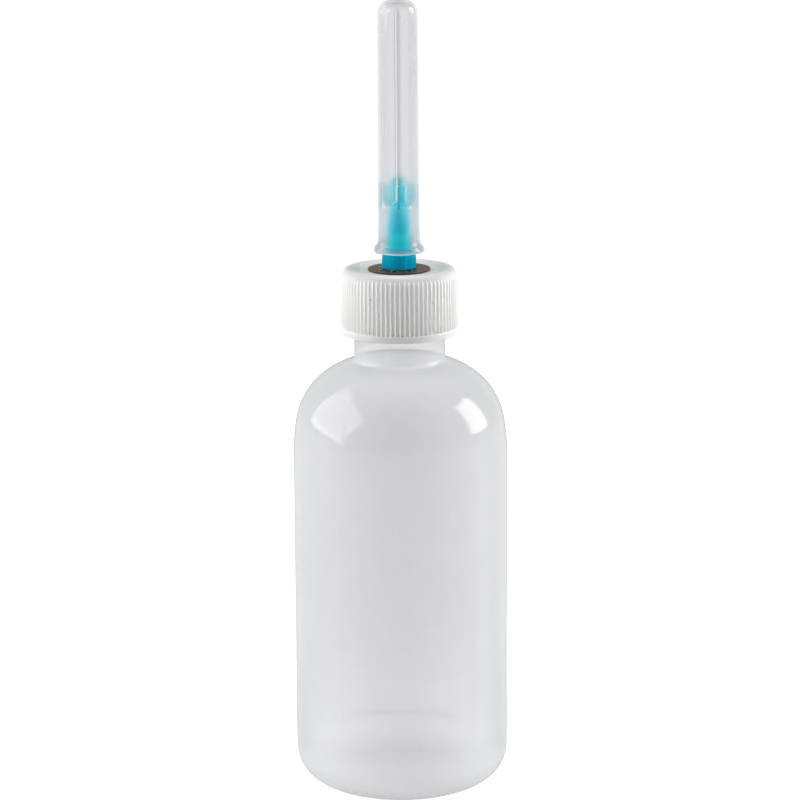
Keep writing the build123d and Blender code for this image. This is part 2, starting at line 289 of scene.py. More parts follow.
def bottle_outside_profile():
    """Outside from the middle of the base to the lip, as parts below, on and above the thread."""
    hollow_r = (FOOT_R ** 2 + HOLLOW ** 2) / (2 * HOLLOW)
    profile = [(r, HOLLOW - (hollow_r - math.sqrt(hollow_r ** 2 - r * r))) for r in HOLLOW_RADII]
    profile += [(12.0, 0.12), (12.3, 0.035), (12.7, 0.0), (13.3, 0.0)]      # foot
    profile += arc(BODY_R - CORNER, CORNER, CORNER, -88, 0, 22)
    profile += column(BODY_R, np.linspace(CORNER + 1.2, SHOULDER_Z - 0.8, 36))
    profile += [(r, z) for r, z in shoulder_points(74) if r >= NECK_R + 0.95]
    # concave fillet into the neck
    fillet, reach = 0.8, 0.78
    root_z = shoulder_z(NECK_R)
    start = np.array([NECK_R + reach, shoulder_z(NECK_R + reach)])
    corner = np.array([NECK_R, root_z + 0.02])
    end = np.array([NECK_R, root_z + fillet])
    profile += [tuple(p) for p in bezier(start, corner, end, 12)]
    profile += column(NECK_R, np.linspace(root_z + fillet + 0.5, THREAD_Z - 1.6, 9))
    thread = column(NECK_R, np.arange(THREAD_Z - 1.45, THREAD_Z + PITCH * TURNS + 1.4, 0.13))
    lip = [(NECK_R, LIP_Z - 0.35)] + arc(NECK_R - 0.3, LIP_Z - 0.3, 0.3, 0, 90, 6)
    lip += [(NECK_R - 0.6, LIP_Z)] + arc(BORE_R + 0.2, LIP_Z - 0.2, 0.2, 90, 180, 5)
    return profile, thread, lip


def bottle_inside_profile():
    """Inside, from under the lip down to the middle of the base."""
    inner_r = BODY_R - WALL
    outside = np.array([(BODY_R, SHOULDER_Z - 0.5)] + shoulder_points(60))
    shoulder = (outside - WALL * normals(outside))[1:]
    shoulder = [tuple(p) for p in shoulder if BORE_R + 0.35 < p[0] < inner_r - 1e-6]
    top_z = shoulder[-1][1]
    profile = column(BORE_R, np.linspace(LIP_Z - 0.8, top_z + 0.8, 10))
    profile += [(BORE_R + 0.08, top_z + 0.3)]
    profile += shoulder[::-1]
    profile += column(inner_r, np.linspace(SHOULDER_Z, CORNER + 0.6, 26))
    corner = CORNER - 0.75
    floor_r, floor_z = inner_r - corner, 1.15
    profile += arc(floor_r, CORNER + 0.4, corner, 0, -90, 14)[1:]
    crown = HOLLOW + BASE_THICK - floor_z
    profile += [(r, floor_z + crown * (1 - (r / floor_r) ** 2) ** 1.3)
                for r in np.linspace(floor_r - 0.8, 0.8, 16)]
    return profile


def bottle_unevenness(r, z, angles, below_thread):
    """How far the outside stands off its profile: soft waves, and the raised parting lines."""
    amount = smoothstep(z, 3.0, 12.0) * (1 - smoothstep(z, 74.0, 79.0))
    amount = amount * smoothstep(r, 12.0, 15.0)
    bulge = 0.10 * bell(z - 9.0, 9.0) - 0.10 * bell(z - 66.5, 3.0)
    wave = waves(BOTTLE_WAVES, angles, z)
    seam = np.zeros_like(wave)
    for centre in (SEAM, SEAM + math.pi):
        away = np.abs(wrap(angles - centre))[None, :] * np.maximum(r, 1)
        seam = np.maximum(seam, 0.022 * bell(away, 0.10) + 0.012 * bell(away - 0.42, 0.10))
    return (wave + bulge) * amount + seam * smoothstep(z, 0.3, 1.2) * below_thread


def build_bottle():
    angles = bottle_angles()
    below, thread, lip = bottle_outside_profile()
    outer = below + thread + lip
    profile = np.array(outer + bottle_inside_profile())
    rings = turn(profile, angles)
    outer_count = len(outer)

    threaded = slice(len(below), len(below) + len(thread))
    ridge = thread_ridge(profile[threaded, 1:], angles, THREAD_Z,
                         half_root=0.83, half_crest=0.36, height=0.95)
    rings[threaded, :, :2] *= (1 + ridge / NECK_R)[:, :, None]

    r, z = profile[:outer_count, :1], profile[:outer_count, 1:]
    below_thread = np.arange(outer_count)[:, None] < len(below)
    push = bottle_unevenness(r, z, angles, below_thread)
    normal = normals(profile[:outer_count])
    rings[:outer_count] += rings_at(push * normal[:, :1], push * normal[:, 1:], angles)

    # pinch line across the hollow of the base
    hollow = rings[:len(HOLLOW_RADII)]
    away = hollow[:, :, 0] * math.sin(SEAM) - hollow[:, :, 1] * math.cos(SEAM)
    fade = 1 - smoothstep(r[:len(HOLLOW_RADII)], 9.5, 11.2)
    hollow[:, :, 2] -= 0.22 * bell(away, 0.35) * fade

    return rings_to_mesh("bottle_shell", rings, sharp=50,
                         start_pole=HOLLOW - 0.2, end_pole=HOLLOW + BASE_THICK,
                         materials=[0] * (outer_count - 1) + [1] * (len(profile) - outer_count))


# =====================================================================
# Screw cap
# =====================================================================
CAP_BORE = 9.5
# places of the mesh lines across one rib, as fractions of the rib spacing
RIB_LINES = np.array([-0.5, -0.36, -0.25, -0.19, -0.13, -0.06, 0.0, 0.06, 0.13, 0.19, 0.25, 0.36])
# where the grooves start above the band: height over the cap's foot, drop of the groove floor
GROOVE_STARTS = [(1.27, 0.10), (1.33, 0.26), (1.42, 0.37), (1.55, 0.415), (1.75, 0.43)]
# bullet-shaped rib ends under the rounded edge: z, crown radius, floor radius
RIB_ENDS = [
    (94.05, 10.600, 10.336), (94.35, 10.580, 10.332), (94.58, 10.548, 10.326),
    (94.76, 10.502, 10.318), (94.90, 10.452, 10.306), (95.02, 10.390, 10.290),
    (95.13, 10.312, 10.266), (95.25, 10.232, 10.222)]
# fine groove round the seat: radius, depth below the cap's top
SEAT_GROOVE = [(6.97, 0.405), (6.93, 0.385), (6.90, 0.362), (6.85, 0.352), (6.75, 0.35)]


def plain(points):
    """Rows whose rib crown and groove floor are the same."""
    return [(r, z, r, z) for r, z in points]


def cap_outside_rows(bottom, top, band_r):
    """Rows (crown r, crown z, floor r, floor z) from the lower rim to the top edge."""
    rim = arc(CAP_BORE + 0.2, bottom + 0.2, 0.2, 180, 270, 4)
    rim += [(10.2, bottom)]
    rim += arc(band_r - 0.3, bottom + 0.3, 0.3, -90, 0, 6)
    rim += [(band_r, bottom + 0.75), (band_r - 0.01, bottom + 1.10),
            (band_r - 0.03, bottom + 1.20)]
    rows = plain(rim)
    rows += [(10.82, bottom + up, 10.85 - drop, bottom + up) for up, drop in GROOVE_STARTS]
    rows += [(10.80 - (z - 85.6) * 0.0232, z, 10.42 - (z - 86) * 0.010, z)
             for z in np.linspace(bottom + 2.6, 93.7, 8)]
    rows += [(crown, z, floor, z) for z, crown, floor in RIB_ENDS]
    edge = [(9.36 + 0.93 * math.cos(a), 94.95 + 1.05 * math.sin(a))
            for a in np.radians(np.linspace(22, 88, 10))]
    return rows + plain(edge + [(9.30, top), (9.22, top)])


def cap_top_rows(top):
    """Down the dish to the seat, through the hole and out under the top."""
    points = [(9.2 - u * 2.18, top - 0.41 * (0.35 * u + 0.65 * u * u * (3 - 2 * u)))
              for u in np.linspace(0.06, 1, 10)]
    points += [(r, top - depth) for r, depth in SEAT_GROOVE]
    points += [(r, SEAT_Z) for r in (5.8, 4.4, 3.2, 2.75)]
    points += [(2.66, SEAT_Z - 0.02), (2.62, SEAT_Z - 0.07), (2.6, SEAT_Z - 0.15),
               (2.6, top - 1.05), (2.65, top - 1.2)]
    points += [(r, top - 1.2) for r in (4.5, 7.0, 9.2)]
    points += [(CAP_BORE - 0.05, top - 1.25), (CAP_BORE, top - 1.35), (CAP_BORE, 93.0)]
    return plain(points)


def build_cap():
    bottom, top, band_r = extent("screw_cap")
    angles = np.concatenate([RIB_PHASE + (k + RIB_LINES) * TAU / RIBS for k in range(RIBS)])
    # 1 on a rib's crown, 0 on the floor of the groove beside it
    crown = 1 - smoothstep(np.abs(np.tile(RIB_LINES, RIBS)), 0.02, 0.245)

    rows = cap_outside_rows(bottom, top, band_r) + cap_top_rows(top)
    thread_z = np.arange(91.2, bottom + 0.28, -0.30)
    threaded = slice(len(rows), len(rows) + len(thread_z))
    rows += plain(column(CAP_BORE, thread_z) + [(CAP_BORE, bottom + 0.26)])
    rows = np.array(rows)
    r = rows[:, 2:3] + (rows[:, 0:1] - rows[:, 2:3]) * crown
    z = rows[:, 3:4] + (rows[:, 1:2] - rows[:, 3:4]) * crown
    # the cap's thread runs in the gaps of the bottle's
    r[threaded] -= thread_ridge(rows[threaded, 1:2], angles, THREAD_Z - PITCH / 2,
                                half_root=0.75, half_crest=0.34, height=0.85)
    return rings_to_mesh("cap_shell", rings_at(r, z, angles), sharp=60, closed=True)


# =====================================================================
# Liner, stem, washer
# =====================================================================
def build_liner():
    bottom, top, outer = extent("cap_liner")
    edge = 0.12
    profile = [(2.60, bottom + 0.03), (2.68, bottom)]
    profile += [(r, bottom) for r in (4, 6, 7.0, 7.4, 8.0, 8.6)]
    profile += arc(outer - edge, bottom + edge, edge, -90, 0, 5)
    profile += arc(outer - edge, top - edge, edge, 0, 90, 5)
    profile += [(7, top), (4, top), (2.68, top), (2.60, top - 0.03), (2.57, top - 0.2),
                (2.57, bottom + 0.2)]
    rings = turn(profile, even_angles(128))
    # the lip has pressed a faint ring into the foam
    r, z = np.array(profile).T
    rings[:, :, 2] += (0.05 * bell(r - 7.6, 0.35) * (z < bottom + 0.01))[:, None]
    return rings_to_mesh("liner_disc", rings, sharp=50, closed=True)


def build_stem():
    bottom, tip, flange_r = extent("luer_stem")
    shaft_r, bore_r = 2.5, 1.05
    shaft_top = extent("star_washer")[1] + 0.01
    profile = rounded_path(
        [(bore_r, bottom + 0.35), (1.4, bottom), (flange_r - 0.2, bottom),
         (flange_r, bottom + 0.2), (flange_r, LIP_Z), (shaft_r, LIP_Z), (shaft_r, shaft_top),
         (luer_radius(tip - shaft_top), shaft_top), (luer_radius(0.3), tip - 0.3),
         (1.775, tip), (bore_r, tip)], step=0.6, rounding=0.07)
    profile += column(bore_r, np.linspace(tip - 0.5, bottom + 0.8, 16))
    return rings_to_mesh("stem_fitting", turn(profile, even_angles(96)), sharp=32, closed=True)


def washer_inner_edge():
    """Angles and radii of the inner edge: eight teeth with rounded gaps between them."""
    step = TAU / TEETH
    half_gap = math.radians(7.9)
    edge = []
    for k in range(TEETH):
        centre = GAP_PHASE + k * step
        edge += [(centre + a * 0.985, 4.02 - 0.30 * (abs(a) / half_gap) ** 4)
                 for a in np.linspace(-half_gap, half_gap, 9)]
        edge.append((centre + half_gap * 1.02, 2.60))
        edge += [(centre + a, 2.515)
                 for a in np.linspace(half_gap * 1.12, step - half_gap * 1.12, 11)]
        edge.append((centre + step - half_gap * 1.02, 2.60))
    return np.array(edge).T


def build_washer():
    bottom, top, outer = extent("star_washer")
    angles, inner = washer_inner_edge()
    soft = 0.06                                  # how far the edges are eased
    ease = soft * 0.3
    across = [0.08, 0.16, 0.26, 0.36, 0.46, 0.56, 0.66, 0.76, 0.86, 0.94]
    face = [inner + soft + (outer - soft - inner - soft) * s for s in across]
    rim = np.full_like(inner, outer)
    # rows (radii, z): up the inner edge, out over the top, down the rim, back underneath
    rows = [(inner, bottom + soft), (inner, top - soft), (inner + ease, top - ease),
            (inner + soft, top)]
    rows += [(radii, top) for radii in face]
    rows += [(rim - soft, top), (rim - ease, top - ease), (rim, top - soft),
             (rim, bottom + soft), (rim - ease, bottom + ease), (rim - soft, bottom)]
    rows += [(radii, bottom) for radii in face[::-1]]
    rows += [(inner + soft, bottom), (inner + ease, bottom + ease)]
    r = np.array([radii for radii, _ in rows])
    z = np.array([[height] for _, height in rows])
    # the upper face is very slightly coned towards the teeth
    z = z - 0.05 * (1 - smoothstep(r, 2.5, 4.3)) * (z > (bottom + top) / 2)
    return rings_to_mesh("star_washer_plate", rings_at(r, z, angles), sharp=40, closed=True)


# =====================================================================
# Needle: hub with four fins, cannula, adhesive
# =====================================================================
# half of the mesh lines about one fin, in degrees, closer at the fin's sides
FIN_LINES = [4.5, 9, 13.4, 15.1, 15.9, 16.8, 18, 19.5, 21, 22.4, 23.6, 25, 27, 30, 33, 36, 39, 42]


def build_hub():
    bottom, top, _ = extent("needle_hub")
    mouth = socket_radius(bottom)
    body = np.array(rounded_path(
        [(mouth + 0.15, bottom), (2.97, bottom), (3.09, bottom + 0.12), (3.07, 97.9),
         (2.97, 98.42), (2.76, 98.8), (2.62, 99.4), (2.08, 106.6), (1.84, 107.5),
         (1.72, 108.6), (1.5, top - 0.25), (1.3, top)], step=0.11, rounding=0.25))
    lines = np.radians([-45] + [-a for a in FIN_LINES[::-1]] + [0] + FIN_LINES)
    quarter = math.pi / 2
    angles = np.concatenate([FIN_PHASE + k * quarter + lines for k in range(4)])
    off_fin = np.abs((angles - FIN_PHASE + quarter / 2) % quarter - quarter / 2)

    # a fin has a half width and a reach from the axis, both by height
    r, z = body[:, :1], body[:, 1:]
    half_width = np.interp(z, [106.7, *FIN_TAPER_Z, 111.4],
                           [FIN_HALF_WIDTHS[0], *FIN_HALF_WIDTHS, 0.78])
    fin_bottom = 106.8
    reach = np.interp(z, [fin_bottom, 108.6, 111.02, 111.3, 111.32],
                      [1.95, 2.9, 2.89, 2.66, 0.0])
    reach = np.where(z < fin_bottom, 0.0, reach)
    fin = np.minimum(reach, half_width / np.maximum(np.sin(off_fin)[None, :], 1e-6))

    # well for the adhesive, needle hole, luer socket
    inside = rounded_path(
        [(1.3, top), (0.95, top), (0.5, 110.6), (0.33, 110.6), (0.33, 104.6), (0.9, 104.2),
         (socket_radius(103.3), 103.3), (mouth, bottom + 0.15), (mouth + 0.15, bottom)],
        step=0.35, rounding=0.04)[1:-1]
    rings = np.concatenate([rings_at(np.maximum(r, fin), z, angles), turn(inside, angles)])
    return rings_to_mesh("hub_moulding", rings, sharp=33, closed=True)


def build_cannula():
    bottom, top, outer = extent("needle_cannula")
    bore_r = 0.17
    profile = [(bore_r, bottom + 0.05), (0.19, bottom), (0.29, bottom), (outer, bottom + 0.04)]
    profile += column(outer, np.linspace(bottom + 0.5, top - 0.3, 40))
    profile += [(outer, top - 0.05), (outer - 0.012, top - 0.02), (outer - 0.04, top),
                (0.20, top), (0.175, top - 0.02), (bore_r, top - 0.06)]
    profile += column(bore_r, np.linspace(top - 0.4, bottom + 0.4, 14))
    return rings_to_mesh("cannula_tube", turn(profile, even_angles(48)), sharp=40, closed=True)


def build_bond():
    bottom, top, _ = extent("needle_bond")
    profile = rounded_path(
        [(0.33, bottom), (0.49, bottom), (0.93, 112.46), (0.80, 112.53), (0.56, 112.66),
         (0.40, 112.85), (0.333, top)], step=0.12, rounding=0.06)
    profile += column(0.33, np.linspace(top - 0.2, bottom + 0.2, 8))
    return rings_to_mesh("adhesive_bead", turn(profile, even_angles(56)), sharp=50, closed=True)


# =====================================================================
# Sheath
# =====================================================================
SHEATH_WAVES = [(0.010, 2, 0.0, 0.05), (0.006, 3, 1.0, -0.09)]
# radius and height over the rim of the flare between the collar and the barrel
SHEATH_FLARE = [(4.40, 1.00), (4.24, 1.16), (4.09, 1.34), (3.97, 1.52), (3.885, 1.72),
                (3.83, 1.94), (3.80, 2.2), (3.785, 2.6)]
# barrel: heights, and radii at those heights
BARREL_OUT = ([100.9, 104.6, 119.0, 133.0, 141.6], [3.790, 3.765, 3.695, 3.665, 3.605])
BARREL_IN = ([101.0, 106.4, 141.7], [3.12, 2.98, 2.85])


def sheath_outside_profile(bottom, top):
    profile = [(3.75, bottom), (4.0, bottom), (4.22, bottom + 0.005)]
    profile += arc(4.22, bottom + 0.42, 0.40, -80, 42, 10)
    profile += [(r, bottom + up) for r, up in SHEATH_FLARE]
    profile += [(float(np.interp(z, *BARREL_OUT)), z)
                for z in np.linspace(bottom + 3.4, 141.4, 62)]
    profile += arc(1.42, 141.62, 2.19, 3, 78, 20)
    end_r, end_z = profile[-1]
    profile += [(r, end_z + (top - end_z) * (1 - (r / end_r) ** 2))
                for r in np.linspace(end_r - 0.25, 0.35, 6)]
    return profile


def sheath_inside_profile(bottom, end_z):
    profile = [(r, end_z + 0.02 * (1.3 - r)) for r in (0.35, 0.7, 1.0, 1.3)]
    profile += arc(1.35, 141.75, 1.51, 84, 2, 14)
    profile += [(float(np.interp(z, *BARREL_IN)), z) for z in np.linspace(141.0, 101.0, 58)]
    profile += [(3.14, 100.6), (3.19, 100.2), (3.26, 99.85), (3.36, 99.5), (3.48, 99.2),
                (3.60, bottom + 0.06)]
    return profile


def build_sheath():
    bottom, top, _ = extent("needle_sheath")
    angles = np.linspace(-math.pi, math.pi, 112, endpoint=False)
    far = np.abs(wrap(angles - KEY_ANGLE)) > math.radians(5.6)
    fine = np.radians(np.linspace(-5, 5, 17))
    angles = np.sort(np.concatenate([angles[far], KEY_ANGLE + fine]))

    end_z = top - 0.9                            # inside of the closed end
    outer = np.array(sheath_outside_profile(bottom, top))
    inner = sheath_inside_profile(bottom, end_z)
    rings = turn(outer, angles)
    r, z = outer[:, :1], outer[:, 1:]
    # a barrel that is not perfectly round
    swell = waves(SHEATH_WAVES, angles, z)
    swell = swell * smoothstep(z, 101.5, 106.0) * (1 - smoothstep(z, 138.0, 142.0))
    # the raised line, steeper on its right side
    away = wrap(angles - KEY_ANGLE) * 3.7
    line = 0.06 * bell(away, np.where(away > 0, 0.06, 0.14))
    swell = swell + line * smoothstep(z, 108.0, 109.2) * (1 - smoothstep(z, 142.0, 143.0))
    rings[:, :, :2] *= (1 + swell / np.maximum(r, 1.0))[:, :, None]
    # down the inside from its closed end, round the rim and up the outside
    return rings_to_mesh("sheath_tube", np.concatenate([turn(inner, angles), rings]), sharp=55,
                         start_pole=end_z + 0.026, end_pole=top,
                         materials=[1] * len(inner) + [0] * (len(outer) - 1))


# =====================================================================
# Node trees: arithmetic on a Field adds the nodes that work it out
# =====================================================================
def operator(operation, swapped=False):
    def apply(self, other):
        pair = (other, self) if swapped else (self, other)
        return self.tree.math(operation, *pair)
    return apply


class Field:
    """An output socket: a number, vector, colour or shader that varies over the surface."""
    __add__ = operator("ADD")
    __sub__ = operator("SUBTRACT")
    __rsub__ = operator("SUBTRACT", swapped=True)
    __mul__ = operator("MULTIPLY")
    __rmul__ = operator("MULTIPLY", swapped=True)
    __truediv__ = operator("DIVIDE")
    __pow__ = operator("POWER")
    __mod__ = operator("FLOORED_MODULO")
    at_least = operator("MAXIMUM")
    at_most = operator("MINIMUM")

    def __init__(self, tree, socket):
        self.tree = tree
        self.socket = socket

    def __abs__(self):
        return self.tree.math("ABSOLUTE", self)

    def remap(self, source, target):
        """Carry the source range (from, to) onto the target range, clamped."""
        return self.tree.field("MapRange", self, *source, *target, clamp=True)

    def rise(self, start, end):
        """0 at start, 1 at end."""
        return self.remap((start, end), (0.0, 1.0))

    def fall(self, start, end):
        """1 at start, 0 at end."""
        return self.remap((start, end), (1.0, 0.0))

    def spread(self, low=0.0, high=1.0):
        """Carry the usual range of a noise onto low to high."""
        return self.remap((0.3, 0.7), (low, high))

    def split(self):
        node = self.tree.node("SeparateXYZ", self)
        return [Field(self.tree, socket) for socket in node.outputs]

    def noise(self, scale, detail=3.0, rough=0.5, stretch=None):
        place = self
        if stretch is not None:
            place = self.tree.field("VectorMath", self, stretch, operation="MULTIPLY")
        return self.tree.field("TexNoise", Vector=place, Scale=scale, Detail=detail,
                               Roughness=rough)

    def ramp(self, stops):
        """A colour ramp from stops (position, grey or colour)."""
        node = self.tree.node("ValToRGB", Fac=self)
        elements = node.color_ramp.elements
        while len(elements) < len(stops):
            elements.new(0.5)
        for element, (position, colour) in zip(elements, stops):
            element.position = position
            element.color = (*(colour if isinstance(colour, tuple) else (colour,) * 3), 1)
        return Field(self.tree, node.outputs[0])


class Tree:
    """The node tree of a material or a world."""

    def __init__(self, owner, output):
        owner.use_nodes = True
        self.owner = owner
        self.nodes = owner.node_tree.nodes
        self.links = owner.node_tree.links
        self.nodes.clear()
        self.output = self.nodes.new(output)

    def put(self, node, key, value):
        socket = node.inputs[key]
        if isinstance(value, Field):
            self.links.new(value.socket, socket)
        elif socket.type == "RGBA":
            socket.default_value = (*value, 1)
        else:
            socket.default_value = value

    def node(self, kind, *values, **named):
        """A new node. Lower-case names are its settings and capitalised names its inputs, with _
        for a space; values fill the inputs in order, and None leaves one alone."""
        node = self.nodes.new("ShaderNode" + kind)
        for name, value in named.items():
            if name.islower():
                setattr(node, name, value)
            else:
                self.put(node, name.replace("_", " "), value)
        for i, value in enumerate(values):
            if value is not None:
                self.put(node, i, value)
        return node

    def field(self, kind, *values, output=0, **named):
        return Field(self, self.node(kind, *values, **named).outputs[output])

    def math(self, operation, *values):
        return self.field("Math", *values, operation=operation)

    def mix(self, amount, start, end, kind="MIX"):
        """Mix two colours."""
        return self.field("Mix", amount, *[None] * 5, start, end, output=2,
                          data_type="RGBA", blend_type=kind)

    def layers(self, colour, rows):
        """Lay colours over a first one. Rows: amount, colour."""
        for amount, over in rows:
            colour = self.mix(amount, colour, over)
        return colour

    def blend(self, amount, start, end):
        """Mix two shaders."""
        return self.field("MixShader", amount, start, end)

    def position(self):
        """Place on the object, in millimetres."""
        place = self.field("TexCoord", output="Object")
        return self.field("VectorMath", place, None, None, 1000.0, operation="SCALE")

    def bump(self, height, strength, distance):
        return self.field("Bump", Strength=strength, Distance=distance, Height=height)

    def angle(self, x, y):
        return self.math("ARCTAN2", y, x)

    def radius(self, x, y):
        return self.math("SQRT", x * x + y * y)

    def off_nearest(self, x, y, first, step):
        """Signed angle from the nearest of the evenly spaced places that start at first."""
        return (self.angle(x, y) - (first - step / 2)) % step - step / 2

    def facing(self):
        """1 where the surface faces the viewer, 0 where it is edge on."""
        return 1.0 - self.field("LayerWeight", output="Facing", Blend=0.5)

    def clear(self, colour):
        return self.field("BsdfTransparent", Color=colour)

    def milky(self, colour, normal, back=0.5):
        """Diffuse on both sides; back is the share that comes through."""
        front = self.field("BsdfDiffuse", Color=colour, Normal=normal)
        behind = self.field("BsdfTranslucent", Color=colour, Normal=normal)
        return self.blend(back, front, behind)

    def coat(self, base, normal, rough, ior, scale=None, limit=None):
        """Gloss over base, left out where a ray meets the face from behind."""
        gloss = self.field("BsdfGlossy", Color=(1, 1, 1), Roughness=rough, Normal=normal)
        amount = self.field("Fresnel", IOR=ior, Normal=normal)
        if scale is not None:
            amount = amount * scale
        if limit is not None:
            amount = amount.at_most(limit)
        backfacing = self.field("NewGeometry", output="Backfacing")
        return self.blend(amount * (1.0 - backfacing), base, gloss)

    def let_light_through(self, shader, colour):
        """Shadow and diffuse rays pass straight through, tinted."""
        path = self.node("LightPath").outputs
        shadow, diffuse = (Field(self, path[f"Is {kind} Ray"]) for kind in ("Shadow", "Diffuse"))
        return self.blend(shadow.at_least(diffuse), shader, self.clear(colour))

    def finish(self, shader):
        self.put(self.output, "Surface", shader)
        return self.owner


def new_material(name):
    return Tree(bpy.data.materials.new(name), "ShaderNodeOutputMaterial")


def by_height(z, stops):
    """A ramp up the bottle. Stops: height as a fraction of 100 mm, level."""
    return (z / 100.0).ramp(stops)


def scaled(colour, factor):
    return tuple(min(1.0, c * factor) for c in colour)


# =====================================================================
# Bottle materials
# =====================================================================
BOTTLE_CLOUD = 0.95                     # cloudiness of the plastic as a whole
# cloudiness follows the wall's thickness: more where it was stretched least
BOTTLE_THICKNESS = [
    (0.0, 1.15), (0.045, 1.0), (0.10, 0.86), (0.55, 0.86), (0.66, 1.02), (0.745, 0.95),
    (0.785, 0.56), (0.80, 0.54), (0.82, 0.56), (0.96, 0.70)]
# brightness of the plastic's colour up the bottle, with painted light: the rise towards the base
# and the neck is painted in
BOTTLE_LEVEL_AND_LIGHT = [
    (0.0, 1.08), (0.07, 1.06), (0.12, 0.98), (0.19, 0.86), (0.30, 0.83), (0.40, 0.81),
    (0.56, 0.83), (0.65, 0.865), (0.72, 0.865), (0.755, 0.91), (0.785, 1.03), (0.81, 1.10)]
# half the strength of the painted shade towards the silhouette
BOTTLE_EDGE = [
    (0.0, 0.50), (0.05, 0.56), (0.09, 0.86), (0.18, 0.80), (0.30, 0.46), (0.60, 0.43),
    (0.70, 0.50), (0.80, 0.52)]
# share of light that comes through from behind
BOTTLE_BACK = [(0.0, 0.5), (0.76, 0.5), (0.79, 0.54), (0.81, 0.58), (0.82, 0.60)]


def bottle_outside():
    tree = new_material("squeeze_bottle_outside")
    point = tree.position()
    x, y, z = point.split()
    # orange peel of the mould, fine grain, vertical drag lines, a few scuffs
    peel = point.noise(scale=0.9, detail=4.0, rough=0.55)
    fine = point.noise(scale=4.5, rough=0.6)
    drag = point.noise(scale=1.6, detail=4.0, rough=0.6, stretch=(1.0, 1.0, 0.035))
    scuff = point.noise(scale=0.55, detail=6.0, rough=0.65, stretch=(1.0, 1.0, 0.5))
    scuff = scuff.rise(0.58, 0.70)
    normal = tree.bump(peel * 0.6 + drag * 0.5 + fine * 0.10, strength=0.22, distance=0.00012)

    # the plastic clears with the depth looked through
    cloud = point.noise(scale=0.085)
    depth = by_height(z, BOTTLE_THICKNESS) * cloud.spread(0.94, 1.06)
    depth = depth * drag.spread(0.985, 1.015) * BOTTLE_CLOUD
    facing = tree.facing().at_least(0.06)
    clearness = tree.math("EXPONENT", depth / facing * -1.0)

    # painted shade: edge is a broad darkening to the silhouette, rim a narrow one
    edge = facing.fall(0.10, 0.88) ** 1.4
    rim = facing.fall(0.06, 0.30) ** 3.0
    on_shoulder = z.rise(60.0, 66.0) * z.fall(80.5, 82.0)
    # a slightly paler upright band on the right of the front: a painted reflection of the right
    # softbox
    band = abs(tree.angle(x, y) - math.radians(FRONT + 49.5))
    band = band.fall(0.04, 0.16) * (z.rise(68.0, 62.0) * z.rise(4.0, 9.0))
    tint = tree.mix(cloud.rise(0.35, 0.65), (0.880, 0.876, 0.895), (0.892, 0.889, 0.902))
    tint = tree.mix(1.0, tint, by_height(z, BOTTLE_LEVEL_AND_LIGHT), "MULTIPLY")
    tint = tree.layers(tint, [
        (band * 0.18, (0.98, 0.98, 0.995)),
        (edge * (2.0 * by_height(z, BOTTLE_EDGE)), (0.62, 0.64, 0.65)),
        (rim * on_shoulder.remap((0.0, 1.0), (0.5, 1.0)), (0.30, 0.31, 0.31))])

    body = tree.milky(tint, normal, by_height(z, BOTTLE_BACK))
    base = tree.blend(clearness, body, tree.clear((0.985, 0.988, 0.992)))
    rough = fine.spread(0.045, 0.065) + scuff * 0.07
    return tree.finish(tree.coat(base, normal, rough, ior=1.47, limit=0.30))


def bottle_inside():
    tree = new_material("squeeze_bottle_inside")
    point = tree.position()
    streaks = point.noise(scale=0.5, stretch=(1, 1, 0.12))
    normal = tree.bump(streaks, strength=0.4, distance=0.0004)
    # the turn into the base is thick, and its pale, uneven ring is painted light that the corner
    # catches
    x, y, z = point.split()
    ring = abs(z - 5.2).fall(0.2, 0.9) * tree.radius(x, y).rise(15.5, 16.5)
    patches = point.noise(scale=0.07, detail=2.0)
    ring = ring * patches.remap((0.35, 0.65), (0.25, 0.85))
    body = tree.milky((0.9, 0.9, 0.9), normal)
    base = tree.blend(0.90 - ring * 0.60, body, tree.clear((0.99, 0.99, 0.992)))
    return tree.finish(tree.coat(base, normal, streaks.spread(0.24, 0.32), ior=1.47,
                                 limit=0.25))


# =====================================================================
# Cap, liner, stem and washer materials
# =====================================================================
# moulded-in specks: azimuth from the front in degrees, z, half width in degrees, half height
SPECKS = [
    (-29.3, 91.9, 0.55, 0.17), (-20.4, 89.2, 0.45, 0.12), (34.9, 91.2, 0.50, 0.15),
    (-5.8, 95.3, 0.45, 0.10), (78.0, 90.2, 0.5, 0.12), (152.0, 87.6, 0.5, 0.14),
    (-118.0, 92.6, 0.45, 0.12), (171.0, 93.4, 0.4, 0.10)]
CAP_SHADE = (0.60, 0.605, 0.605)


def cap_specks(tree, x, y, z, grain):
    """1 on the specks, with ragged outlines."""
    azimuth = tree.math("ARCTAN2", x, y * -1.0) * (180.0 / math.pi)
    specks = 0.0
    for speck_azimuth, speck_z, half_width, half_height in SPECKS:
        across = (azimuth - speck_azimuth) / half_width
        up = (z - speck_z) / half_height
        away = across * across + up * up + grain.spread(-0.35, 0.35)
        specks = tree.math("MAXIMUM", specks, away.fall(0.7, 1.2))
    return specks


